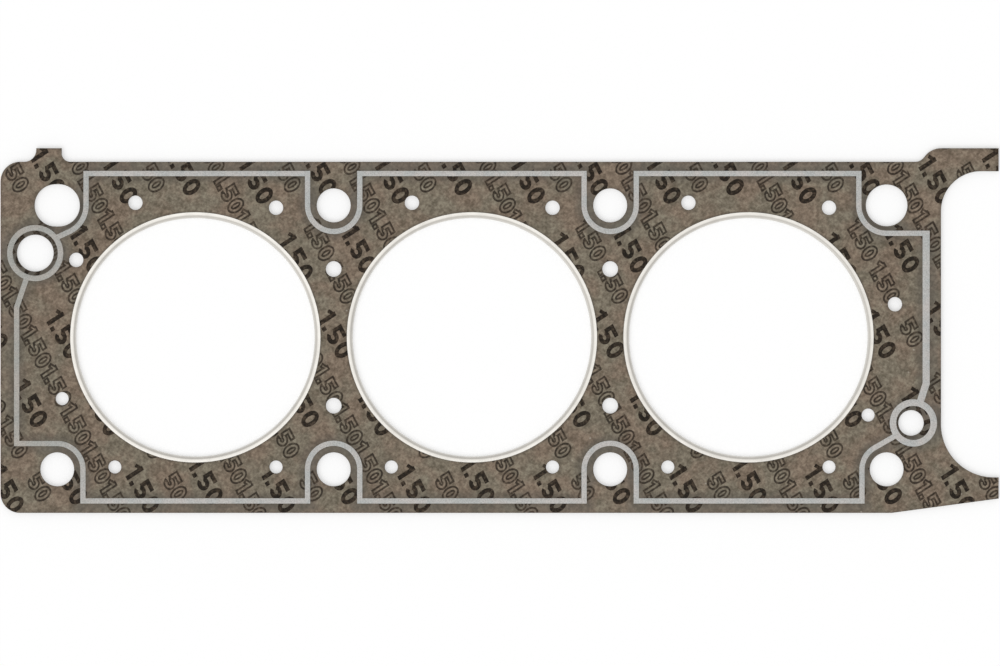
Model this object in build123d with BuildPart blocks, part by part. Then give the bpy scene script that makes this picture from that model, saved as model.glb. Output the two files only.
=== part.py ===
from build123d import *
import os

# Composite cylinder head gasket for one bank of a V6 engine: two soft facings on a steel core sheet, a
# folded steel fire ring round each cylinder, and a printed elastomer bead on each face.
# Frame, in millimetres: X runs along the bank from the flywheel end (-X) to the timing chain end (+X), Y
# across it from the plain side (-Y) to the side with the tab (+Y), and Z along the cylinders from the block
# up to the head. The origin is the middle cylinder's axis at the underside of the fire rings.

# Engine pattern
cylinder_count = 3
cylinder_pitch = 106.0
bolt_row_spacing = 101.2

# Layers
ring_sheet = 0.25
facing_thickness = 0.6
core_thickness = 0.3

# Fire rings
ring_clear_radius = 45.7
ring_flange_radius = 48.0

# Head bolt holes, with two for dowels on the tab side: round at the chain end, oblong at the flywheel end
bolt_hole_radius = 6.5
dowel_hole_radius = 8.0
dowel_slot_length = 17.4
dowel_slot_width = 16.2

# Oil passages, one at each end of the bank
flywheel_passage = (-167.4, 32.3)
flywheel_passage_radius = 7.05
chain_passage = (168.35, -32.8)
chain_passage_radius = 4.9

# Coolant holes: each cylinder has the same four, each web two, and each end two more
tab_side_coolant_offsets = [(-23.0, 51.6), (30.9, 49.7)]
plain_side_coolant_offsets = [(-30.9, -49.7), (30.9, -49.7)]
web_coolant_spacing = 52.4
tab_side_end_coolant = [(-151.7, 29.7), (162.2, 12.7)]
plain_side_end_coolant = [(-157.1, -23.5), (151.9, -29.8)]
tab_side_coolant_radius = 2.75
plain_side_coolant_radius = 2.5
web_coolant_radius = 3.0

# Outline
flywheel_edge = -180.7
chain_edge = 201.9
side_edge = 67.3
corner_radius = 7.5
raised_edge = 72.5  # top of both the tab and the prong beside the window
tab_start = -167.0
tab_end = -157.3
tab_start_fillet = 4.6
tab_end_fillet = 3.3
step_start = 171.9
step_end = 176.2
step_start_fillet = 4.2
step_end_fillet = 7.6
window_wall = 179.8
window_tab_edge = 63.7
window_plain_edge = -53.7
window_tab_fillet = 15.4
window_plain_fillet = 20.4
taper_start = 160.9
taper_end_edge = -61.8

# Bead section and route. Bends are radii round a bolt's axis, and knees are where an end run turns off to
# the loop round an oil passage.
bead_side_height = 0.08
bead_height = 0.16
bead_width = 2.0
chain_run_height = 0.18
chain_run_width = 2.7
bead_loop_height = 0.2
flywheel_loop_width = 2.1
chain_loop_width = 2.5
flywheel_loop_radius = 9.7
chain_loop_centre = (169.2, -32.8)
chain_loop_radius = 7.8
bead_tab_row = 62.8
bead_plain_row = -62.7
bead_flywheel_column = -174.5
bead_chain_column = 174.1
inner_bolt_bend = 10.0
dowel_slot_bend = 11.1
dowel_slot_bend_angle = 65
dowel_hole_bend = 10.7
flywheel_bolt_bend = 9.9
chain_bolt_bend = 9.5
chain_bolt_bend_angle = 60
flywheel_knee = 11.5
chain_knee = -17.7

# Heights and positions that follow from these
lower_facing_base = ring_sheet
core_base = lower_facing_base + facing_thickness
upper_facing_base = core_base + core_thickness
upper_face = upper_facing_base + facing_thickness
ring_height = upper_face + ring_sheet
ring_nose_radius = ring_height / 2
sheet_bore_radius = ring_clear_radius + ring_nose_radius
bolt_row = bolt_row_spacing / 2
cylinders = [(number - (cylinder_count - 1) / 2) * cylinder_pitch for number in range(cylinder_count)]
flywheel_bolts, *inner_bolts, chain_bolts = [
    (number - cylinder_count / 2) * cylinder_pitch for number in range(cylinder_count + 1)
]


def round_holes(centres, radius):
    """Punch one size of round hole through the sketch at each centre."""
    with Locations(*centres):
        Circle(radius, mode=Mode.SUBTRACT)


# The blank that all three layers are punched from
outline = [
    ((flywheel_edge, -side_edge), corner_radius),
    ((flywheel_edge, side_edge), corner_radius),
    ((tab_start, side_edge), tab_start_fillet),
    ((tab_start, raised_edge), 0),
    ((tab_end, raised_edge), 0),
    ((tab_end, side_edge), tab_end_fillet),
    ((step_start, side_edge), step_start_fillet),
    ((step_end, raised_edge), step_end_fillet),
    ((chain_edge, raised_edge), 0),
    ((chain_edge, window_tab_edge), 0),
    ((window_wall, window_tab_edge), window_tab_fillet),
    ((window_wall, window_plain_edge), window_plain_fillet),
    ((chain_edge, window_plain_edge), 0),
    ((chain_edge, taper_end_edge), 0),
    ((taper_start, -side_edge), 0),
]
corners, fillets = zip(*outline)

with BuildSketch() as blank:
    with BuildLine():
        FilletPolyline(*corners, radius=fillets, close=True)
    make_face()
    round_holes([(cylinder, 0) for cylinder in cylinders], sheet_bore_radius)
    round_holes([flywheel_passage], flywheel_passage_radius)
    round_holes([chain_passage], chain_passage_radius)

    round_holes([(x, bolt_row) for x in inner_bolts], bolt_hole_radius)
    round_holes([(x, -bolt_row) for x in (flywheel_bolts, *inner_bolts, chain_bolts)], bolt_hole_radius)
    round_holes([(chain_bolts, bolt_row)], dowel_hole_radius)
    with Locations((flywheel_bolts, bolt_row)):
        SlotOverall(dowel_slot_length, dowel_slot_width, mode=Mode.SUBTRACT)

    for cylinder in cylinders:
        round_holes([(cylinder + x, y) for x, y in tab_side_coolant_offsets], tab_side_coolant_radius)
        round_holes([(cylinder + x, y) for x, y in plain_side_coolant_offsets], plain_side_coolant_radius)
    round_holes(tab_side_end_coolant, tab_side_coolant_radius)
    round_holes(plain_side_end_coolant, plain_side_coolant_radius)
    with GridLocations(cylinder_pitch, web_coolant_spacing, cylinder_count - 1, 2):
        Circle(web_coolant_radius, mode=Mode.SUBTRACT)

# Lower facing: soft composite against the block
with BuildPart() as facing_bottom:
    with BuildSketch(Plane.XY.offset(lower_facing_base)):
        add(blank.sketch)
    extrude(amount=facing_thickness)

# Core: the steel sheet between the facings
with BuildPart() as steel_core:
    with BuildSketch(Plane.XY.offset(core_base)):
        add(blank.sketch)
    extrude(amount=core_thickness)

# Upper facing: soft composite against the head
with BuildPart() as facing_top:
    with BuildSketch(Plane.XY.offset(upper_facing_base)):
        add(blank.sketch)
    extrude(amount=facing_thickness)


# Fire rings: a steel strip folded round the edge of the stack, with a round nose towards the cylinder
nose_centre = (sheet_bore_radius, ring_nose_radius)
with BuildSketch() as ring_section:
    with BuildLine():
        outside = CenterArc(nose_centre, ring_nose_radius, start_angle=90, arc_size=180)
        inside = CenterArc(nose_centre, ring_nose_radius - ring_sheet, start_angle=90, arc_size=180)
        top_edge = Line((ring_flange_radius, ring_height), (ring_flange_radius, upper_face))
        Line(outside @ 0, top_edge @ 0)
        Line(inside @ 0, top_edge @ 1)
        bottom_edge = Line((ring_flange_radius, 0), (ring_flange_radius, lower_facing_base))
        Line(outside @ 1, bottom_edge @ 0)
        Line(inside @ 1, bottom_edge @ 1)
    make_face()

fire_rings = []
for number, cylinder in enumerate(cylinders, start=1):
    cylinder_axis = Axis((cylinder, 0, 0), (0, 0, 1))
    with BuildPart() as fire_ring:
        with BuildSketch(Plane.XZ.shift_origin(cylinder_axis.position)):
            add(ring_section.sketch)
        revolve(axis=cylinder_axis)
    fire_ring.part.label = f"fire_ring_{number}"
    fire_rings.append(fire_ring.part)


# Sealing beads: a line of elastomer with upright sides and a crowned back, printed on each face in one loop
# that rings both oil passages and dips round every head bolt
bead_plane = Plane.XY.offset(upper_face)


def crowned_section(start, direction, width, height):
    """The bead's section, standing on the facing across the start of a run."""
    half = width / 2
    across = bead_plane.z_dir.cross(direction)
    with BuildSketch(Plane(origin=start, x_dir=across, z_dir=direction)) as section:
        with BuildLine():
            Polyline((half, bead_side_height), (half, 0), (-half, 0), (-half, bead_side_height))
            ThreePointArc((-half, bead_side_height), (0, height), (half, bead_side_height))
        make_face()
    return section.sketch


def lay_bead(route, width=bead_width, height=bead_height):
    """Sweep the bead's section along a route, with mitred corners."""
    path = route.wire()
    sweep(crowned_section(path @ 0, path % 0, width, height), path=path, transition=Transition.RIGHT)


def lay_loop(centre, radius, width):
    """Bead round an oil passage, a little higher than the runs that join it."""
    start = bead_plane.from_local_coords((centre[0] + radius, centre[1]))
    axis = Axis(bead_plane.from_local_coords(centre), bead_plane.z_dir)
    revolve(crowned_section(start, Vector(0, 1, 0), width, bead_loop_height), axis=axis)


def past_inner_bolts(start, row, side):
    """Run along one row towards the chain end, dipping inwards round each inner head bolt."""
    for bolt in inner_bolts:
        leg = Polyline(start, (bolt - inner_bolt_bend, row), (bolt - inner_bolt_bend, side * bolt_row))
        bend = CenterArc((bolt, side * bolt_row), inner_bolt_bend, start_angle=180, arc_size=side * 180)
        start = Line(bend @ 1, (bolt + inner_bolt_bend, row)) @ 1
    return start


def towards_loop(knee, centre, radius):
    """Line from a knee that heads for a loop's centre and stops on the loop's own middle line."""
    middle = bead_plane.from_local_coords(centre)
    Line(knee, middle + (knee - middle).normalized() * radius)


with BuildLine(bead_plane) as loop_lines:
    flywheel_loop_line = CenterArc(flywheel_passage, flywheel_loop_radius, start_angle=0, arc_size=360)
    chain_loop_line = CenterArc(chain_loop_centre, chain_loop_radius, start_angle=0, arc_size=360)

with BuildLine(bead_plane) as tab_side_route:
    slot_bend = CenterArc(
        (flywheel_bolts, bolt_row), dowel_slot_bend, -dowel_slot_bend_angle, dowel_slot_bend_angle
    )
    IntersectingLine(slot_bend @ 0, -(slot_bend % 0), flywheel_loop_line)
    tab_corner = (flywheel_bolts + dowel_slot_bend, bead_tab_row)
    Line(slot_bend @ 1, tab_corner)
    past_last_inner_bolt = past_inner_bolts(tab_corner, bead_tab_row, side=1)
    hole_column = chain_bolts - dowel_hole_bend
    Polyline(past_last_inner_bolt, (hole_column, bead_tab_row), (hole_column, bolt_row))
    hole_bend = CenterArc((chain_bolts, bolt_row), dowel_hole_bend, start_angle=180, arc_size=90)
    chain_corner = Line(hole_bend @ 1, (bead_chain_column, bolt_row - dowel_hole_bend)) @ 1

with BuildLine(bead_plane) as chain_run_route:
    chain_run_start = (bead_chain_column, bolt_row - dowel_hole_bend + bead_width / 2)
    chain_run = Line(chain_run_start, (bead_chain_column, chain_knee))
    towards_loop(chain_run @ 1, chain_loop_centre, chain_loop_radius)

with BuildLine(bead_plane) as plain_side_route:
    flywheel_corner = (bead_flywheel_column, flywheel_bolt_bend - bolt_row)
    flywheel_run = Line((bead_flywheel_column, flywheel_knee), flywheel_corner)
    towards_loop(flywheel_run @ 0, flywheel_passage, flywheel_loop_radius)
    Line(flywheel_corner, (flywheel_bolts, flywheel_bolt_bend - bolt_row))
    flywheel_bend = CenterArc((flywheel_bolts, -bolt_row), flywheel_bolt_bend, start_angle=90, arc_size=-90)
    plain_corner = (flywheel_bolts + flywheel_bolt_bend, bead_plain_row)
    Line(flywheel_bend @ 1, plain_corner)
    past_last_inner_bolt = past_inner_bolts(plain_corner, bead_plain_row, side=-1)
    chain_bend = CenterArc((chain_bolts, -bolt_row), chain_bolt_bend, 180, -chain_bolt_bend_angle)
    Polyline(past_last_inner_bolt, (chain_bolts - chain_bolt_bend, bead_plain_row), chain_bend @ 0)
    IntersectingLine(chain_bend @ 1, chain_bend % 1, chain_loop_line)

with BuildPart() as bead_top:
    lay_bead(tab_side_route)
    lay_bead(plain_side_route)
    lay_bead(chain_run_route, chain_run_width, chain_run_height)
    lay_loop(flywheel_passage, flywheel_loop_radius, flywheel_loop_width)
    lay_loop(chain_loop_centre, chain_loop_radius, chain_loop_width)

with BuildPart() as bead_bottom:
    mirror(bead_top.part, about=Plane.XY.offset(ring_height / 2))

facing_bottom.part.label = "facing_bottom"
steel_core.part.label = "steel_core"
facing_top.part.label = "facing_top"
bead_top.part.label = "bead_top"
bead_bottom.part.label = "bead_bottom"
sheets = [facing_bottom.part, steel_core.part, facing_top.part]
beads = [bead_top.part, bead_bottom.part]

os.makedirs("parts", exist_ok=True)
for piece in (*sheets, *beads, *fire_rings):
    export_step(piece, f"parts/{piece.label}.step")
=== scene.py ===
import math

import bmesh
import bpy
import numpy as np
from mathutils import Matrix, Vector, kdtree
from mathutils.geometry import delaunay_2d_cdt


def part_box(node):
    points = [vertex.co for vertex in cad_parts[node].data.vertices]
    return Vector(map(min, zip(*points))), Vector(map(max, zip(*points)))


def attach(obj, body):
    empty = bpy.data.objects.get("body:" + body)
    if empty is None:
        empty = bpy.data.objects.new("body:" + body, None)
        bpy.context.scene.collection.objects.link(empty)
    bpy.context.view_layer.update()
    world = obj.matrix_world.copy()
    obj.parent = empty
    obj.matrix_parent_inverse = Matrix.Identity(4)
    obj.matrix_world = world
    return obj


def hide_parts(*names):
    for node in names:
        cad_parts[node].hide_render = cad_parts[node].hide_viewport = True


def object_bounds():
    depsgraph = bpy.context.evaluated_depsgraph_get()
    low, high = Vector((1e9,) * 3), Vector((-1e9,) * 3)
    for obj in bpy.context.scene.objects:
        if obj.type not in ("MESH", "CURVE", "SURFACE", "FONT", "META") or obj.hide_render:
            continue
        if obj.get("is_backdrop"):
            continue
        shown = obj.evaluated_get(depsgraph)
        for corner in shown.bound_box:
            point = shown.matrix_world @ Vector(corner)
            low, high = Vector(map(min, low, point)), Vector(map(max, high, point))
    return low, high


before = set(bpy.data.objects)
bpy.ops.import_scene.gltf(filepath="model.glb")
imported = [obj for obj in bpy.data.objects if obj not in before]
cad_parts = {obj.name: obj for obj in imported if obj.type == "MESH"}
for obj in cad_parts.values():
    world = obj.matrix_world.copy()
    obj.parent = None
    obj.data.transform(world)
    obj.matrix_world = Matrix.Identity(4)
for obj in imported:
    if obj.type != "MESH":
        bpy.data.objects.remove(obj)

CAD_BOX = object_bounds()
MM = 0.001

# ---------------------------------------------------------------- sizes, in metres
SAME_HEIGHT = 1e-6  # two heights nearer than this are one
WELD = 1e-6  # points nearer than this are one
SAME_ARC = 0.004  # the share of a radius by which the middles of one arc's parts differ
ARC_TURN = 0.36  # the most, in radians, that the frame's own meshes turn at once
FINE_TURN = math.radians(7)  # the most that one edge of a fine outline turns
HULL_CLEARANCE = 5 * MM  # how far outside a flat area its triangulation's corners lie
BATCH = 300  # how many points are tested against an outline at once
MARK_STEP = 0.15 * MM  # how closely an outline is marked to measure distances from it
SHARP_TURN = math.radians(32)  # faces that meet at more than this show an edge

OUTLINE_STEP = 0.7 * MM
SHEET_GRID = 1.3 * MM
PUNCH_ROLL = 0.07 * MM  # the punch draws a sheet's edge down this far
BESIDE_BEAD = (0.35 * MM, 0.9 * MM)  # where rows of points follow the bead

BEAD_STEP = 0.4 * MM
BEAD_GRID = 0.34 * MM
BEAD_SHOULDER = 0.08 * MM  # the bead's straight side under its crown
RUN_SECTION = (1.0 * MM, 0.16 * MM)  # half width and height
CHAIN_RUN_SECTION = (1.35 * MM, 0.18 * MM)
CHAIN_RUN = ((174.1, 40.9), (174.1, -17.7), (169.2, -32.8))
LOOP_RISE = 0.2 * MM
LOOPS = (((-167.4, 32.3), 9.7, 2.1), ((169.2, -32.8), 7.8, 2.5))  # middle, radius, width
BEAD_WANDER = 0.006 * MM  # how unevenly the printed bead stands
BEAD_WANDER_WAVE = 2.2 * MM
BEAD_PAINTED_SHADE_END = (-165 * MM, -140 * MM)  # the bead's colour is painted darker along here, as painted shade

RING_STEPS = 360
RING_SHEET = 0.25 * MM
NOSE_STEPS = 28
FLANGE_ROUND = 0.05 * MM
RING_WIDTH = 2.3  # a fire ring's width, in radii of its nose
CIRCLE_MARKS = 200

FILM = 0.012 * MM  # the ink stands this proud of the facing

# ---------------------------------------------------------------- the print
READING = math.radians(-62.9)  # the direction in which a line of figures runs
LEAN = math.tan(math.radians(-6))
ACROSS_REPEAT = Vector((52.08, 0)) * MM
ALONG_REPEAT = Vector((30.32, -59.23)) * MM
REPEATS_ACROSS = range(-2, 9)
REPEATS_ALONG = range(-1, 4)
# Each figure of a repeat: its style, its text and its middle.
LAYOUT = (
    ("solid", "1.50", -149.8, 89.9),
    ("solid", "1.50", -134.7, 60.3),
    ("solid", "1.50", -125.7, 93.1),
    ("solid", "1.50", -110.5, 63.5),
    ("hollow", "1.50", -160.3, 85.1),
    ("hollow", "1.50", -152.7, 70.3),
    ("hollow", "1.50", -145.2, 55.5),
    ("hollow", "1.50", -137.6, 40.7),
    ("hollow", "1.50", -140.9, 96.5),
    ("hollow", "1.50", -132.5, 80.1),
    ("hollow", "50", -122.2, 60.9),
)
# The figures' height, width, stroke, gap, and the line that draws a hollow one.
STYLES = {
    "solid": (7.5, 5.3, 1.68, 1.0, 0.0),
    "hollow": (6.5, 4.45, 1.52, 0.86, 0.76),
}
PINHOLE = 0.06  # the least radius, in mm, left open inside a bent stroke
BOW_POINTS = 25
# Shares of a figure's width or height.
ONE_WIDTH = 0.62
ONE_FLAG = (0.72, 0.9)
FIVE_BAR = 0.94
FIVE_WAIST = 0.47
FIVE_BOWL = 0.31
FIVE_BOWL_ARC = (-152, 146)  # degrees


# ---------------------------------------------------------------- outlines
def rims(corners):
    """The closed rims of a patch of triangles, as lists of points, patch on the left."""
    edges = set()
    for a, b, c in corners.tolist():
        for edge in ((a, b), (b, c), (c, a)):
            if edge[::-1] in edges:
                edges.remove(edge[::-1])
            else:
                edges.add(edge)
    following = {}
    for a, b in sorted(edges):
        following.setdefault(a, []).append(b)
    found = []
    while following:
        start = min(following)
        rim, at = [], start
        while True:
            rim.append(at)
            ways = following[at]
            ahead = ways.pop()
            if not ways:
                del following[at]
            at = ahead
            if at == start:
                break
        found.append(rim)
    return found


def cad_outlines(node, level):
    """The outlines of a CAD node's flat face at one height, face on their left."""
    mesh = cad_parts[node].data
    mesh.calc_loop_triangles()
    places = np.empty(3 * len(mesh.vertices), np.float32)
    mesh.vertices.foreach_get("co", places)
    corners = np.empty(3 * len(mesh.loop_triangles), np.int32)
    mesh.loop_triangles.foreach_get("vertices", corners)
    points, merged = np.unique(
        places.reshape(-1, 3).astype(float).round(8), axis=0, return_inverse=True
    )
    corners = merged.reshape(-1)[corners].reshape(-1, 3)
    flat = corners[(abs(points[corners][..., 2] - level) < SAME_HEIGHT).all(axis=1)]
    a, b, c = (points[flat[:, k], :2] for k in range(3))
    if np.cross(b - a, c - a).sum() < 0:
        flat = flat[:, ::-1]
    return [points[rim][:, :2] for rim in rims(flat)]


def arc_centres(loop):
    """The centre of the circle through each point and its two neighbours."""
    before, after = np.roll(loop, 1, axis=0) - loop, np.roll(loop, -1, axis=0) - loop
    twist = 2 * np.cross(before, after)
    near, far = (before**2).sum(axis=1), (after**2).sum(axis=1)
    with np.errstate(divide="ignore", invalid="ignore"):
        x = (after[:, 1] * near - before[:, 1] * far) / twist
        y = (before[:, 0] * far - after[:, 0] * near) / twist
    return loop + np.stack([x, y], axis=1)


def finer(loop, step):
    """An outline with more points: on the circle where it is an arc, in line elsewhere."""
    centres = arc_centres(loop)
    radii = np.linalg.norm(loop - centres, axis=1)
    apart = np.linalg.norm(centres - np.roll(centres, -1, axis=0), axis=1)
    lengths = np.linalg.norm(np.roll(loop, -1, axis=0) - loop, axis=1)
    steps = np.stack([lengths, np.roll(lengths, 1)])
    even = steps.max(axis=0) < 2 * steps.min(axis=0)
    one_arc = (apart < SAME_ARC * radii) & (lengths < ARC_TURN * radii)
    one_arc &= even & np.roll(even, -1)
    count = len(loop)
    made = []
    for i in range(count):
        start, end = loop[i], loop[(i + 1) % count]
        length = lengths[i]
        if one_arc[i] or one_arc[i - 1]:
            centre = centres[i]
        elif one_arc[(i + 1) % count]:
            centre = centres[(i + 1) % count]
        else:
            shares = np.arange(math.ceil(length / step)) / math.ceil(length / step)
            made.extend(start + (end - start) * share for share in shares)
            continue
        spoke = start - centre
        reach = np.linalg.norm(spoke)
        turn = math.remainder(
            math.atan2(*(end - centre)[::-1]) - math.atan2(*spoke[::-1]), math.tau
        )
        pieces = math.ceil(max(length / step, abs(turn) / FINE_TURN))
        first = math.atan2(spoke[1], spoke[0])
        for k in range(pieces):
            angle = first + turn * k / pieces
            made.append(centre + reach * np.array([math.cos(angle), math.sin(angle)]))
    return np.array(made)


def inset(loop, depth):
    """An outline moved to its left by a depth, corners kept sharp."""
    run = np.roll(loop, -1, axis=0) - loop
    run /= np.linalg.norm(run, axis=1)[:, None]
    left = np.stack([-run[:, 1], run[:, 0]], axis=1)
    both = left + np.roll(left, 1, axis=0)
    return loop + both * (2 * depth / (both**2).sum(axis=1))[:, None]


def inside(points, loops):
    """For each point, whether it lies within the outlines and outside their holes."""
    starts = np.vstack(loops)
    ends = np.vstack([np.roll(loop, -1, axis=0) for loop in loops])
    lows, highs = np.minimum(starts, ends)[:, 1], np.maximum(starts, ends)[:, 1]
    found = np.zeros(len(points), bool)
    order = np.argsort(points[:, 1], kind="stable")
    for part in np.array_split(order, 1 + len(points) // BATCH):
        x, y = points[part, :1], points[part, 1:]
        near = (lows <= y.max()) & (highs > y.min())
        a, b = starts[near], ends[near]
        spans = (a[:, 1] > y) != (b[:, 1] > y)
        rise = np.where(b[:, 1] == a[:, 1], 1, b[:, 1] - a[:, 1])
        crossing = a[:, 0] + (y - a[:, 1]) * (b[:, 0] - a[:, 0]) / rise
        found[part] = (spans & (crossing > x)).sum(axis=1) % 2 == 1
    return found


def ring_edges(loops):
    """Pairs of point numbers that close each outline, the outlines one after another."""
    edges, first = [], 0
    for loop in loops:
        last = first + len(loop) - 1
        edges += [(k, k + 1) for k in range(first, last)] + [(last, first)]
        first = last + 1
    return edges


def triangles(points, edges, keep):
    """Triangles that hold every edge, each area between edges kept or dropped as one."""
    low, high = points.min(axis=0) - HULL_CLEARANCE, points.max(axis=0) + HULL_CLEARANCE
    hull = [low, (high[0], low[1]), high, (low[0], high[1])]
    spots = [Vector(p) for p in np.vstack([points, hull]) / MM]
    made = delaunay_2d_cdt(spots, edges, [], 0, 0, True)
    flat = np.array([v[:] for v in made[0]]) * MM
    corners = np.array(made[2])
    walls = {
        tuple(sorted(edge)) for edge, given in zip(made[1], made[4]) if given
    }
    areas = fenced_areas(corners, walls)
    ends = flat[corners]
    size = abs(np.cross(ends[:, 1] - ends[:, 0], ends[:, 2] - ends[:, 0]))
    last_of_each = np.append(np.flatnonzero(np.diff(np.sort(areas))), -1)
    largest = np.lexsort((size, areas))[last_of_each]
    corners = corners[keep(ends[largest].mean(axis=1))[areas]]
    used, corners = np.unique(corners, return_inverse=True)
    return flat[used], corners.reshape(-1, 3)


def fenced_areas(corners, walls):
    """For each triangle the number of its area, areas being parted by walls."""
    beside = {}
    for k, (a, b, c) in enumerate(corners.tolist()):
        for edge in ((a, b), (b, c), (c, a)):
            edge = tuple(sorted(edge))
            if edge not in walls:
                beside.setdefault(edge, []).append(k)
    nearby = [[] for _ in corners]
    for pair in beside.values():
        if len(pair) == 2:
            nearby[pair[0]].append(pair[1])
            nearby[pair[1]].append(pair[0])
    areas, count = [-1] * len(corners), 0
    for start in range(len(corners)):
        if areas[start] >= 0:
            continue
        areas[start], front = count, [start]
        while front:
            for k in nearby[front.pop()]:
                if areas[k] < 0:
                    areas[k] = count
                    front.append(k)
        count += 1
    return np.array(areas)


def fill(loops, inner=None):
    """The area within outlines as (points, triangles), with further points inside it."""
    points = np.vstack(loops if inner is None else [*loops, inner])
    return triangles(points, ring_edges(loops), lambda middles: inside(middles, loops))


def even_grid(loops, spacing, clearance):
    """Points in even rows within outlines and clear of them."""
    low, high = np.vstack(loops).min(axis=0), np.vstack(loops).max(axis=0)
    rise = spacing * math.sqrt(3) / 2
    rows = np.arange(low[1], high[1], rise)
    columns = np.arange(low[0], high[0], spacing)
    x, y = np.meshgrid(columns, rows)
    x[1::2] += spacing / 2
    points = np.stack([x.ravel(), y.ravel()], axis=1)
    points = points[inside(points, loops)]
    return points[distance(points, loops) > clearance]


def distance(points, loops):
    """How far each point is from the nearest point of some outlines."""
    marks = np.vstack([finer(loop, MARK_STEP) for loop in loops])
    tree = kdtree.KDTree(len(marks))
    for k, (x, y) in enumerate(marks.tolist()):
        tree.insert((x, y, 0), k)
    tree.balance()
    return np.array([tree.find((x, y, 0))[2] for x, y in points.tolist()])


# ---------------------------------------------------------------- meshes
class Shell:
    """Points and faces gathered for one piece."""

    def __init__(self):
        self.points, self.faces, self.smooth = [], [], []

    def add(self, points, faces, smooth):
        """Further points, and faces that count from the first of them."""
        first = len(self.points)
        self.points += [tuple(map(float, p)) for p in points]
        self.faces += [tuple(first + k for k in face) for face in faces]
        self.smooth += [smooth] * len(faces)

    def band(self, lower, upper, smooth):
        """Faces between two closed rims, whose left side is the piece's."""
        count = len(lower)
        faces = [
            (k, (k + 1) % count, count + (k + 1) % count, count + k)
            for k in range(count)
        ]
        self.add([*lower, *upper], faces, smooth)

    def piece(self, name, material, slot, *nodes):
        """The welded mesh as a piece of the object, in place of CAD nodes."""
        mesh = bpy.data.meshes.new(name)
        mesh.from_pydata(self.points, [], self.faces)
        mesh.polygons.foreach_set("use_smooth", self.smooth)
        build = bmesh.new()
        build.from_mesh(mesh)
        bmesh.ops.remove_doubles(build, verts=build.verts, dist=WELD)
        build.to_mesh(mesh)
        build.free()
        mesh.set_sharp_from_angle(angle=SHARP_TURN)
        mesh.materials.append(material)
        made = bpy.data.objects.new(name, mesh)
        bpy.context.scene.collection.objects.link(made)
        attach(made, "root")
        if nodes:
            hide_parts(*nodes)
        return made


def at_height(flat, height):
    """Flat points lifted to a height, or each to its own."""
    return np.column_stack([flat, np.broadcast_to(height, len(flat))])


def turned(faces, up):
    """Triangles as they are where the face looks up, and reversed where it looks down."""
    return faces if up else faces[:, ::-1]


def sheet(name, node, face, back, material, seal, rings):
    """A punched facing sheet between two heights, and the outline of its outer face."""
    up = face > back
    loops = [finer(loop, OUTLINE_STEP) for loop in cad_outlines(node, face)]
    brink = [inset(loop, PUNCH_ROLL) for loop in loops]
    inner = [even_grid(brink, SHEET_GRID, 0.5 * SHEET_GRID)]
    for depth in BESIDE_BEAD:
        beside = np.vstack([inset(loop, -depth) for loop in seal])
        inner.append(beside[inside(beside, brink)])
    inner = np.vstack(inner)
    flat, corners = fill(brink, inner)
    shell = Shell()
    shell.add(at_height(flat, face), turned(corners, up), False)
    drop = face - PUNCH_ROLL if up else face + PUNCH_ROLL
    for rim in rims(corners):
        edge = inset(flat[rim], -PUNCH_ROLL)
        levels = [at_height(flat[rim], face), at_height(edge, drop), at_height(edge, back)]
        for upper, lower in zip(levels, levels[1:]):
            shell.band(*((lower, upper) if up else (upper, lower)), True)
    flat, corners = fill([inset(loop, -PUNCH_ROLL) for loop in brink])
    shell.add(at_height(flat, back), turned(corners, not up), False)
    made = shell.piece(name, material, "facing", node)
    mark_distance(made, "from_bead", seal)
    mark_distance(made, "from_edge", loops)
    mark_distance(made, "from_ring", rings)
    return brink


def mark_distance(made, name, loops):
    """How far each point is from some outlines, in millimetres, kept in the mesh."""
    mesh = made.data
    places = np.empty(3 * len(mesh.vertices), np.float32)
    mesh.vertices.foreach_get("co", places)
    away = distance(places.reshape(-1, 3)[:, :2].astype(float), loops) / MM
    mark = mesh.attributes.new(name, "FLOAT", "POINT")
    mark.data.foreach_set("value", away.astype(np.float32))


def wander(points, wave):
    """A smooth unevenness from -1 to 1 over the plane, the same in every run."""
    x, y = points[:, 0] / wave, points[:, 1] / wave
    return (
        np.sin(1.7 * x + 0.9 * y + 0.4)
        + np.sin(2.9 * y - 1.3 * x + 2.1)
        + np.sin(3.7 * x + 2.3 * y + 4.4)
    ) / 3


def from_line(points, start, end):
    """How far each point is from a straight line between two others."""
    run = end - start
    share = np.clip((points - start) @ run / (run @ run), 0, 1)
    return np.linalg.norm(points - start - share[:, None] * run, axis=1)


def bead_sections(points):
    """Half width and height of the bead about each point."""
    half, full = (np.full(len(points), size) for size in RUN_SECTION)
    for start, end in zip(CHAIN_RUN, CHAIN_RUN[1:]):
        away = from_line(points, np.array(start) * MM, np.array(end) * MM)
        half[away < CHAIN_RUN_SECTION[0]], full[away < CHAIN_RUN_SECTION[0]] = CHAIN_RUN_SECTION
    for middle, radius, width in LOOPS:
        away = abs(np.linalg.norm(points - np.array(middle) * MM, axis=1) - radius * MM)
        half[away < width / 2 * MM], full[away < width / 2 * MM] = width / 2 * MM, LOOP_RISE
    return half, full


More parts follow.
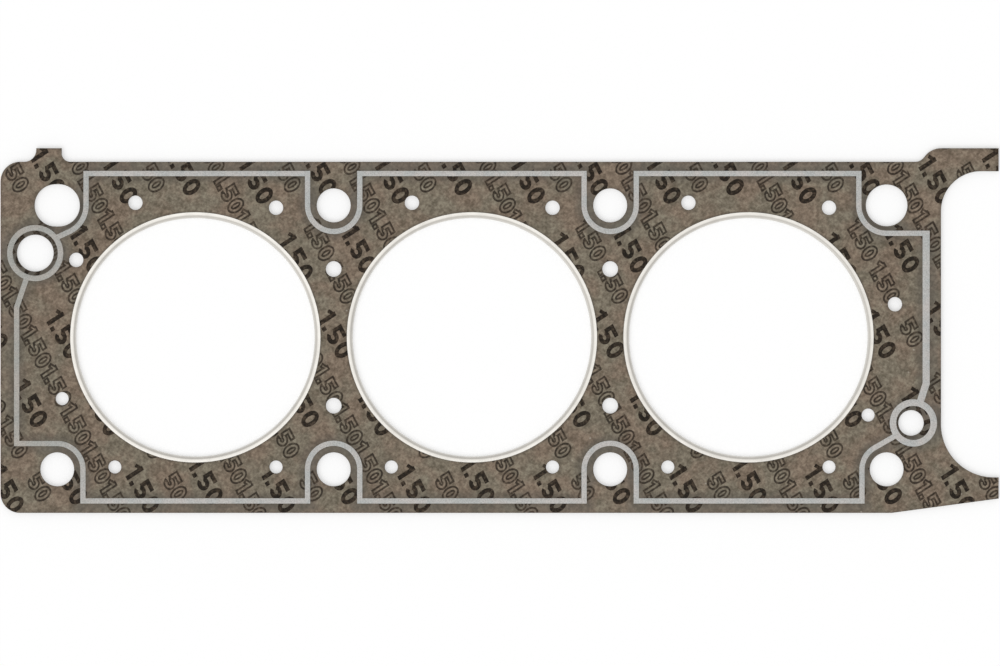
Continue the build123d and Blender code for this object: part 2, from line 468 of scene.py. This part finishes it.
def bead(name, node, root, crown, material):
    """A printed bead: its footprint on the facing, a low side and a crown."""
    loops = [finer(loop, BEAD_STEP) for loop in cad_outlines(node, root)]
    up = crown > root
    rise = 1 if up else -1
    flat, corners = fill(loops, even_grid(loops, BEAD_GRID, 0.4 * BEAD_GRID))
    half, full = bead_sections(flat)
    share = 1 - (1 - np.minimum(distance(flat, loops) / half, 1)) ** 2
    lift = (full - BEAD_SHOULDER) * share
    lift += BEAD_WANDER * share * (wander(flat, BEAD_WANDER_WAVE) - 1)
    shell = Shell()
    height = root + rise * (BEAD_SHOULDER + lift)
    shell.add(at_height(flat, height), turned(corners, up), True)
    for rim in rims(corners):
        upper = at_height(flat[rim], height[rim])
        lower = at_height(flat[rim], root)
        shell.band(*((lower, upper) if up else (upper, lower)), True)
    flat, corners = fill(loops)
    shell.add(at_height(flat, root), turned(corners, not up), False)
    shell.piece(name, material, "bead", node)


def ring_section(inner, outer, low, high):
    """A fire ring's section, (radius, height) pairs round a folded sheet with a full nose."""
    nose = (high - low) / 2
    middle = (inner + nose, low + nose)
    angles = [math.radians(90 + 180 * k / NOSE_STEPS) for k in range(NOSE_STEPS + 1)]

    def arc(radius):
        return [
            (middle[0] + radius * math.cos(a), middle[1] + radius * math.sin(a))
            for a in angles
        ]

    lip = outer - FLANGE_ROUND
    return [
        (lip, high),
        *arc(nose),
        (lip, low),
        (outer, low + FLANGE_ROUND),
        (outer, low + RING_SHEET),
        *reversed(arc(nose - RING_SHEET)),
        (outer, high - RING_SHEET),
        (outer, high - FLANGE_ROUND),
    ]


def fire_ring(name, node, material):
    """A folded steel ring, turned finely round its own middle."""
    low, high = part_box(node)
    middle = (low + high) / 2
    places = np.array([v.co[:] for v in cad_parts[node].data.vertices])
    inner = np.hypot(places[:, 0] - middle.x, places[:, 1] - middle.y).min()
    section = ring_section(inner, (high.x - low.x) / 2, low.z, high.z)
    turns = [math.tau * k / RING_STEPS for k in range(RING_STEPS)]
    shell = Shell()
    points = [
        (middle.x + r * math.cos(a), middle.y + r * math.sin(a), z)
        for a in turns
        for r, z in section
    ]
    count = len(section)
    faces = [
        (
            s * count + k,
            (s + 1) % RING_STEPS * count + k,
            (s + 1) % RING_STEPS * count + (k + 1) % count,
            s * count + (k + 1) % count,
        )
        for s in range(RING_STEPS)
        for k in range(count)
    ]
    shell.add(points, faces, True)
    shell.piece(name, material, "ring_steel", node)


# ---------------------------------------------------------------- printed figures
def bar(start, end, half, more):
    """A straight stroke as an outline, its sides and ends moved out by more."""
    start, end = np.array(start), np.array(end)
    along = (end - start) / np.linalg.norm(end - start)
    side = np.array([-along[1], along[0]]) * (half + more)
    start, end = start - along * more, end + along * more
    return [start - side, end - side, end + side, start + side], None


def bow(middle, radii, first, last, half, more):
    """A bent stroke as an outline, or an outline and its hole where it is closed."""
    closed = last - first >= 360
    spread = 0 if closed else math.degrees(more / min(radii))
    angles = np.radians(np.linspace(first - spread, last + spread, BOW_POINTS))

    def line(out):
        return [
            (
                middle[0] + max(radii[0] + out, PINHOLE) * math.cos(a),
                middle[1] + max(radii[1] + out, PINHOLE) * math.sin(a),
            )
            for a in angles
        ]

    outer, hole = line(half + more), line(-half - more)
    if closed:
        return outer[:-1], hole[:-1]
    return outer + hole[::-1], None


def strokes(figure, height, width, stroke, more):
    """A figure's strokes, each an outline and perhaps its hole, and the figure's width."""
    half = stroke / 2
    top, right = height - half, width - half
    if figure == ".":
        return [bar((half, 0), (half, stroke), half, more)], stroke
    if figure == "1":
        stem = ONE_WIDTH * width - half
        low, high = (share * height for share in ONE_FLAG)
        return [
            bar((stem, 0), (stem, height), half, more),
            bar((0, low), (stem, high), 0.8 * half, more),
        ], ONE_WIDTH * width
    if figure == "5":
        bowl = FIVE_BOWL * height
        radii = (right - width / 2, bowl - half)
        return [
            bar((half, top), (FIVE_BAR * width, top), half, more),
            bar((half, FIVE_WAIST * height), (half, height), half, more),
            bow((width / 2, bowl), radii, *FIVE_BOWL_ARC, half, more),
        ], width
    middle = (width / 2, height / 2)
    return [bow(middle, (right - width / 2, top - height / 2), 0, 360, half, more)], width


def covered(points, shapes):
    """For each point, whether any stroke covers it."""
    found = np.zeros(len(points), bool)
    for outline, hole in shapes:
        loops = [np.array(outline)] + ([np.array(hole)] if hole else [])
        found |= inside(points, loops)
    return found


def printed_figure(figure, style):
    """One figure's inked area about its lower left corner, and the figure's width."""
    height, width, stroke, _, line = STYLES[style]
    wide, size = strokes(figure, height, width, stroke, line / 2)
    narrow = strokes(figure, height, width, stroke, -line / 2)[0] if line else []
    loops = [np.array(loop) for shape in wide + narrow for loop in shape if loop]

    def inked(middles):
        spots = middles / MM
        return covered(spots, wide) & ~covered(spots, narrow)

    flat, corners = triangles(np.vstack(loops) * MM, ring_edges(loops), inked)
    return flat, corners, size * MM


def placed_figures(kind):
    """Every figure of one kind as (points, triangles) in the frame, before it is cut."""
    cut = {}
    slope = np.array([[1, 0], [LEAN, 1]])
    turn = np.array(
        [[math.cos(READING), math.sin(READING)], [-math.sin(READING), math.cos(READING)]]
    )
    for style, text, x, y in LAYOUT:
        if style != kind:
            continue
        height, gap = STYLES[style][0] * MM, STYLES[style][3] * MM
        for figure in text:
            if (figure, style) not in cut:
                cut[figure, style] = printed_figure(figure, style)
        length = sum(cut[figure, style][2] + gap for figure in text) - gap
        for across in REPEATS_ACROSS:
            for along in REPEATS_ALONG:
                middle = np.array([x, y]) * MM
                middle = middle + across * np.array(ACROSS_REPEAT)
                middle = middle + along * np.array(ALONG_REPEAT)
                pen = -length / 2
                for figure in text:
                    flat, corners, size = cut[figure, style]
                    own = (flat + (pen, -height / 2)) @ slope
                    yield own @ turn + middle, corners
                    pen += size + gap


def print_film(kind, loops, level, material):
    """The ink of one kind of figure on the facing, cut off by its outline and holes."""
    rim = np.vstack(loops)
    ends = np.vstack([np.roll(loop, -1, axis=0) for loop in loops])
    low, high = rim.min(axis=0), rim.max(axis=0)
    shell = Shell()
    for flat, corners in placed_figures(kind):
        first, last = flat.min(axis=0), flat.max(axis=0)
        if (first > high).any() or (last < low).any():
            continue
        reach = OUTLINE_STEP
        near = ((rim > first - reach) & (rim < last + reach)).all(axis=1)
        if not near.any():
            if not inside(flat[:1], loops)[0]:
                continue
        else:
            flat, corners = cut_figure(flat, corners, rim[near], ends[near], loops)
        if not len(corners):
            continue
        shell.add(at_height(flat, level + FILM), corners, False)
        shell.add(at_height(flat, level), corners[:, ::-1], False)
        for edge in rims(corners):
            shell.band(at_height(flat[edge], level), at_height(flat[edge], level + FILM), False)
    shell.piece(f"{kind}_figures", material, None)


def cut_figure(flat, corners, starts, ends, loops):
    """What is left of a figure within the facing."""
    own = [flat[rim] for rim in rims(corners)]
    count = sum(len(loop) for loop in own)
    across = [(count + 2 * k, count + 2 * k + 1) for k in range(len(starts))]
    points = np.vstack([*own, np.stack([starts, ends], axis=1).reshape(-1, 2)])
    return triangles(
        points,
        ring_edges(own) + across,
        lambda middles: inside(middles, own) & inside(middles, loops),
    )


# ---------------------------------------------------------------- materials
def tint(red, green, blue):
    """A colour written as 0 to 255, as the shader takes it."""
    linear = [
        c / 12.92 if c <= 0.04045 else ((c + 0.055) / 1.055) ** 2.4
        for c in (red / 255, green / 255, blue / 255)
    ]
    return (*linear, 1)


class Finish:
    """A node material, written as a short list of calls."""

    def __init__(self, name, **constants):
        self.material = bpy.data.materials.new(name)
        self.material.use_nodes = True
        self.tree = self.material.node_tree
        self.shader = self.tree.nodes["Principled BSDF"]
        for socket, value in constants.items():
            self.shader.inputs[socket.replace("_", " ")].default_value = value
        self.place = self.node("ShaderNodeTexCoord", {}).outputs["Object"]

    def node(self, kind, inputs, **settings):
        """A node with its settings made and each input linked or set."""
        made = self.tree.nodes.new(kind)
        for setting, value in settings.items():
            setattr(made, setting, value)
        for socket, value in inputs.items():
            if isinstance(value, bpy.types.NodeSocket):
                self.tree.links.new(value, made.inputs[socket])
            else:
                made.inputs[socket].default_value = value
        return made

    def noise(self, size, detail=2.0, rough=0.5, place=None):
        """Soft noise whose blots are about a size across, in metres."""
        inputs = {"Vector": place or self.place, "Scale": 1 / size, "Detail": detail}
        return self.node("ShaderNodeTexNoise", {**inputs, "Roughness": rough}).outputs[0]

    def stretched(self, angle, along, across):
        """The place, turned and stretched so that noise of size 1 draws fibres."""
        turned_place = self.node(
            "ShaderNodeMapping",
            {"Vector": self.place, "Rotation": (0, 0, angle)},
        ).outputs[0]
        return self.node(
            "ShaderNodeMapping",
            {"Vector": turned_place, "Scale": (1 / along, 1 / across, 1 / across)},
        ).outputs[0]

    def math(self, operation, a, b=0.0, c=0.0):
        """What an operation makes of up to three values."""
        return self.node("ShaderNodeMath", {0: a, 1: b, 2: c}, operation=operation).outputs[0]

    def span(self, value, low, high, start=0.0, end=1.0):
        """A value carried from one range to another and held at its ends."""
        inputs = {"Value": value, "From Min": low, "From Max": high}
        inputs.update({"To Min": start, "To Max": end})
        return self.node("ShaderNodeMapRange", inputs).outputs[0]

    def ramp(self, value, *stops):
        """A colour for a value, from (place, colour) stops."""
        made = self.node("ShaderNodeValToRGB", {0: value})
        band = made.color_ramp.elements
        while len(band) < len(stops):
            band.new(0.5)
        for element, (place, colour) in zip(band, stops):
            element.position, element.color = place, colour
        return made.outputs[0]

    def mix(self, share, a, b, blend="MIX"):
        """One colour laid over another by a share."""
        made = self.node(
            "ShaderNodeMix", {0: share, 6: a, 7: b}, data_type="RGBA", blend_type=blend
        )
        return made.outputs[2]

    def mark(self, name):
        """A value that the mesh holds at its points."""
        return self.node("ShaderNodeAttribute", {}, attribute_name=name).outputs["Fac"]

    def bump(self, height, depth):
        """Relief of the surface, so many metres deep."""
        inputs = {"Height": height, "Distance": depth, "Strength": 1.0}
        normal = self.node("ShaderNodeBump", inputs).outputs[0]
        self.tree.links.new(normal, self.shader.inputs["Normal"])

    def drive(self, socket, value):
        """A shader socket fed by a value."""
        self.tree.links.new(value, self.shader.inputs[socket])


def fibre_weave(finish):
    """The felted fibres of the facing, as one value about 0.5."""
    fine = finish.noise(1.0 * MM, detail=2, rough=0.5)
    one = finish.noise(1, detail=2, place=finish.stretched(0.5, 2.6 * MM, 0.45 * MM))
    other = finish.noise(1, detail=2, place=finish.stretched(-0.9, 2.2 * MM, 0.4 * MM))
    fibres = finish.math("MAXIMUM", one, other)
    return finish.math(
        "MULTIPLY_ADD", fine, 0.6, finish.math("MULTIPLY", fibres, 0.4)
    )


def facing_colour(finish, weave):
    """The facing's taupe, mottled from blot to blot, here rosier and there greener."""
    mottle = finish.noise(2.3 * MM, detail=3, rough=0.55)
    both = finish.math("MULTIPLY_ADD", mottle, 0.4, finish.math("MULTIPLY", weave, 0.6))
    colour = finish.ramp(
        both,
        (0.4, tint(95, 85, 72)),
        (0.48, tint(113, 102, 89)),
        (0.54, tint(126, 114, 100)),
        (0.62, tint(142, 131, 116)),
    )
    cloud = finish.noise(11 * MM, detail=3)
    hue = finish.ramp(cloud, (0.4, tint(247, 253, 250)), (0.6, tint(255, 248, 244)))
    return finish.mix(1, colour, hue, "MULTIPLY")


def facing_finish():
    """The pressed fibre facing, darker and greyer by the bead and the cut edges, with painted
    shadow in the narrow strips between bead and edge and a painted shadow line round the fire
    rings.
    """
    finish = Finish("facing_fibre", Specular_IOR_Level=0.2)
    weave = fibre_weave(finish)
    colour = facing_colour(finish, weave)
    bead, edge, ring = (finish.mark(f"from_{other}") for other in ("bead", "edge", "ring"))
    near_both = finish.math(
        "MULTIPLY", finish.span(bead, 0.8, 4.5, 0.5, 0), finish.span(edge, 0.8, 4.5, 1, 0)
    )
    colour = finish.mix(near_both, colour, tint(112, 109, 102))
    # partly ink left on the facing and partly painted shadow of the raised bead: the narrow strips
    # between bead and cut edge are coloured near black
    narrow = finish.math(
        "MULTIPLY", finish.span(bead, 0.5, 1.6, 0.75, 0), finish.span(edge, 0.5, 1.6, 1, 0)
    )
    colour = finish.mix(narrow, colour, tint(40, 36, 31))
    colour = finish.mix(finish.span(bead, 0.4, 3.5, 0.48, 0), colour, tint(73, 70, 65))
    colour = finish.mix(finish.span(edge, 0.1, 1.5, 0.35, 0), colour, tint(72, 64, 56))
    # painted shadow: a dark line on the facing just outside each fire ring's flange
    colour = finish.mix(finish.span(ring, 0.1, 0.9, 0.55, 0), colour, tint(76, 70, 62))
    flecks = finish.node(
        "ShaderNodeTexVoronoi", {"Vector": finish.place, "Scale": 1 / (9 * MM)}
    ).outputs["Distance"]
    colour = finish.mix(finish.span(flecks, 0.02, 0.05, 0.55, 0), colour, tint(178, 171, 160))
    finish.drive("Base Color", colour)
    finish.drive("Roughness", finish.span(weave, 0.3, 0.7, 0.62, 0.82))
    finish.bump(weave, 0.03 * MM)
    return finish.material


def ink_finish(name, cover):
    """Black-brown printing ink that has sunk between the fibres, the less the thinner."""
    finish = Finish(name, Specular_IOR_Level=0.12)
    weave = fibre_weave(finish)
    blots = finish.noise(1.1 * MM, detail=3, rough=0.6)
    ink = finish.ramp(
        blots, (0.36, tint(12, 7, 2)), (0.5, tint(28, 20, 12)), (0.64, tint(54, 43, 32))
    )
    gaps = finish.span(
        finish.math("MULTIPLY", weave, blots), 0.24, 0.36, 0.8 * (1 - cover), 1.1 - cover
    )
    colour = finish.mix(gaps, ink, facing_colour(finish, weave))
    finish.drive("Base Color", colour)
    finish.drive("Roughness", finish.span(weave, 0.3, 0.7, 0.5, 0.72))
    finish.bump(weave, 0.03 * MM)
    return finish.material


def bead_finish():
    """Pale grey silicone, screen printed."""
    finish = Finish("silicone_bead", Specular_IOR_Level=0.4)
    cloud = finish.noise(5 * MM, detail=2)
    fine = finish.noise(0.5 * MM, detail=3, rough=0.6)
    colour = finish.ramp(cloud, (0.35, tint(181, 183, 181)), (0.65, tint(193, 189, 185)))
    grain = finish.ramp(fine, (0.35, tint(150, 148, 146)), (0.6, tint(255, 255, 255)))
    colour = finish.mix(0.4, colour, grain, "MULTIPLY")
    across = finish.node("ShaderNodeSeparateXYZ", {0: finish.place}).outputs["X"]
    # painted shade: the bead's colour is darkened towards this end
    painted_shade_end = finish.span(across, *BEAD_PAINTED_SHADE_END, 1, 0)
    colour = finish.mix(painted_shade_end, colour, tint(233, 231, 226), "MULTIPLY")
    finish.drive("Base Color", colour)
    finish.drive("Roughness", finish.span(fine, 0.3, 0.7, 0.4, 0.6))
    finish.bump(fine, 0.012 * MM)
    return finish.material


def ring_finish(name, middle, inner, outer):
    """Bright folded steel, rubbed round the ring and rougher on its rolled nose, with painted
    shade as a grey band on the nose and a painted shadow line at the flange's outer edge.
    """
    finish = Finish(name, Metallic=1.0)
    spoke = finish.node(
        "ShaderNodeVectorMath", {0: finish.place, 1: (middle.x, middle.y, 0)}, operation="SUBTRACT"
    ).outputs[0]
    flat = finish.node(
        "ShaderNodeVectorMath", {0: spoke, 1: (1, 1, 0)}, operation="MULTIPLY"
    ).outputs[0]
    radius = finish.node("ShaderNodeVectorMath", {0: flat}, operation="LENGTH").outputs["Value"]
    rub_place = finish.node("ShaderNodeCombineXYZ", {0: radius}).outputs[0]
    rubs = finish.noise(0.09 * MM, detail=2, place=rub_place)
    smear = finish.noise(4 * MM, detail=2)
    share = finish.span(radius, inner, outer)
    # painted shade: a grey band across the rolled nose; painted shadow: the dark last stop, a line
    # along the flange's outer edge
    colour = finish.ramp(
        share,
        (0.0, tint(228, 226, 221)),
        (0.14, tint(214, 211, 206)),
        (0.3, tint(188, 185, 179)),
        (0.42, tint(194, 191, 185)),
        (0.58, tint(219, 216, 210)),
        (0.93, tint(226, 223, 217)),
        (1.0, tint(165, 162, 156)),
    )
    tone = finish.math("MULTIPLY_ADD", rubs, 0.5, finish.math("MULTIPLY", smear, 0.5))
    shade = finish.ramp(tone, (0.35, tint(205, 203, 200)), (0.6, tint(255, 255, 255)))
    colour = finish.mix(0.35, colour, shade, "MULTIPLY")
    finish.drive("Base Color", colour)
    worn = finish.span(share, 0.4, 0.6, 0.2, 0)
    finish.drive("Roughness", finish.math("ADD", finish.span(tone, 0.35, 0.65, 0.4, 0.52), worn))
    finish.bump(rubs, 0.004 * MM)
    return finish.material


def core_finish():
    """The steel core, which shows only as a line in the cut edges."""
    finish = Finish("core_steel", Metallic=1.0)
    grain = finish.noise(0.3 * MM, detail=3, rough=0.6)
    cloud = finish.noise(8 * MM, detail=2)
    both = finish.math("MULTIPLY_ADD", grain, 0.5, finish.math("MULTIPLY", cloud, 0.5))
    colour = finish.ramp(both, (0.35, tint(138, 136, 132)), (0.65, tint(186, 184, 180)))
    finish.drive("Base Color", colour)
    finish.drive("Roughness", finish.span(grain, 0.3, 0.7, 0.3, 0.5))
    finish.bump(grain, 0.01 * MM)
    return finish.material


# ---------------------------------------------------------------- the set
PHOTO_MIDDLE = Vector((10.76, 1.67)) * MM
PHOTO_WIDTH = 383.3 * MM
LENS = 200.0
SENSOR = 36.0
FLOOR_SIDE = 6.0
FLOOR_DROP = 0.02 * MM
FLOOR_TONE = 0.55
AMBIENT = 0.75  # the share of the light that comes evenly from all round
KEY_ANGLE = math.radians(45)
KEY_SLANT = math.radians(35)
KEY_HEADING = math.radians(135)


def seen_directly(tree):
    """1 for a ray from the camera, a reflection or glass, and 0 for the light itself."""
    path = tree.nodes.new("ShaderNodeLightPath")
    seen = path.outputs["Is Camera Ray"]
    for other in ("Is Glossy Ray", "Is Transmission Ray"):
        either = tree.nodes.new("ShaderNodeMath")
        either.operation = "MAXIMUM"
        tree.links.new(seen, either.inputs[0])
        tree.links.new(path.outputs[other], either.inputs[1])
        seen = either.outputs[0]
    return seen


def scaled(tree, value, factor, more):
    """A value times a factor and plus more."""
    made = tree.nodes.new("ShaderNodeMath")
    made.operation = "MULTIPLY_ADD"
    tree.links.new(value, made.inputs[0])
    made.inputs[1].default_value, made.inputs[2].default_value = factor, more
    return made.outputs[0]


def studio_world():
    """Even light from all round, which the camera sees as white."""
    world = bpy.data.worlds.new("studio")
    bpy.context.scene.world = world
    world.use_nodes = True
    tree = world.node_tree
    background = tree.nodes["Background"]
    background.inputs["Color"].default_value = (1, 1, 1, 1)
    strength = scaled(tree, seen_directly(tree), 1 - AMBIENT, AMBIENT)
    tree.links.new(strength, background.inputs["Strength"])


def key_light():
    """A broad soft lamp that gives the rest of the light."""
    lamp = bpy.data.lights.new("key", "SUN")
    lamp.angle = KEY_ANGLE
    lamp.energy = (1 - AMBIENT) * math.pi / math.cos(KEY_SLANT)
    key = bpy.data.objects.new("key", lamp)
    key.rotation_euler = (-KEY_SLANT, 0, KEY_HEADING)
    bpy.context.scene.collection.objects.link(key)


def pale_floor():
    """The sheet of pale paper that the gasket lies on."""
    mesh = bpy.data.meshes.new("floor")
    half = FLOOR_SIDE / 2
    corners = [(-half, -half), (half, -half), (half, half), (-half, half)]
    mesh.from_pydata([(x, y, -FLOOR_DROP) for x, y in corners], [], [(0, 1, 2, 3)])
    finish = Finish("floor_paper", Specular_IOR_Level=0.0)
    grain = finish.noise(0.8 * MM, detail=2)
    tones = [(tone, tone, tone, 1) for tone in (0.99 * FLOOR_TONE, 1.01 * FLOOR_TONE)]
    finish.drive("Base Color", finish.ramp(grain, (0.3, tones[0]), (0.7, tones[1])))
    finish.drive("Roughness", finish.span(grain, 0.3, 0.7, 0.85, 0.95))
    finish.bump(grain, 0.01 * MM)
    finish.shader.inputs["Emission Color"].default_value = (1, 1, 1, 1)
    glow = scaled(finish.tree, seen_directly(finish.tree), 1 - FLOOR_TONE, 0)
    finish.drive("Emission Strength", glow)
    mesh.materials.append(finish.material)
    floor = bpy.data.objects.new("floor", mesh)
    bpy.context.scene.collection.objects.link(floor)
    floor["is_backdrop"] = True


def camera_over(level):
    """A long lens straight above, which frames the object as the photograph does."""
    lens = bpy.data.cameras.new("camera")
    lens.lens, lens.sensor_width = LENS, SENSOR
    camera = bpy.data.objects.new("camera", lens)
    height = level + PHOTO_WIDTH * LENS / SENSOR
    camera.location = (PHOTO_MIDDLE.x, PHOTO_MIDDLE.y, height)
    bpy.context.scene.collection.objects.link(camera)
    bpy.context.scene.camera = camera


# ---------------------------------------------------------------- the gasket
def fire_rings():
    """The three fire rings, and the circle of each one's outer edge."""
    turns = np.linspace(0, math.tau, CIRCLE_MARKS, endpoint=False)
    circle = np.stack([np.cos(turns), np.sin(turns)], axis=1)
    circles = []
    for number in (1, 2, 3):
        node = f"fire_ring_{number}"
        low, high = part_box(node)
        middle, outer = (low + high) / 2, (high.x - low.x) / 2
        inner = outer - RING_WIDTH * (high.z - low.z) / 2
        steel = ring_finish(f"ring_steel_{number}", middle, inner, outer)
        fire_ring(f"folded_ring_{number}", node, steel)
        circles.append(np.array(middle[:2]) + outer * circle)
    return circles


def facings(face, fibre, seal, rings):
    """Both facing sheets, and the outline that the print on the upper one keeps to."""
    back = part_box("facing_top")[0].z
    brink = sheet("facing_sheet_top", "facing_top", face, back, fibre, seal, rings)
    low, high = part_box("facing_bottom")
    sheet("facing_sheet_bottom", "facing_bottom", low.z, high.z, fibre, seal, rings)
    return brink


def beads(face, silicone):
    """The bead on each of the two facings."""
    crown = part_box("bead_top")[1].z
    bead("silicone_bead_top", "bead_top", face, crown, silicone)
    low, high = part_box("bead_bottom")
    bead("silicone_bead_bottom", "bead_bottom", high.z, low.z, silicone)


def build():
    """The gasket, piece by piece, and the height of its printed face."""
    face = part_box("facing_top")[1].z
    fibre, silicone = facing_finish(), bead_finish()
    seal = [finer(loop, BEAD_STEP) for loop in cad_outlines("bead_top", face)]
    brink = facings(face, fibre, seal, fire_rings())
    print_film("solid", brink, face, ink_finish("full_ink", 0.95))
    print_film("hollow", brink, face, ink_finish("thin_ink", 0.8))
    beads(face, silicone)
    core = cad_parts["steel_core"]
    core.data.materials.clear()
    core.data.materials.append(core_finish())
    return face


scene = bpy.context.scene
scene.view_settings.view_transform = "Standard"
face_level = build()
studio_world()
key_light()
pale_floor()
camera_over(face_level)

boxes = {"cad_box": CAD_BOX, "visual_box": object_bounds()}
{name: [list(corner) for corner in box] for name, box in boxes.items()}
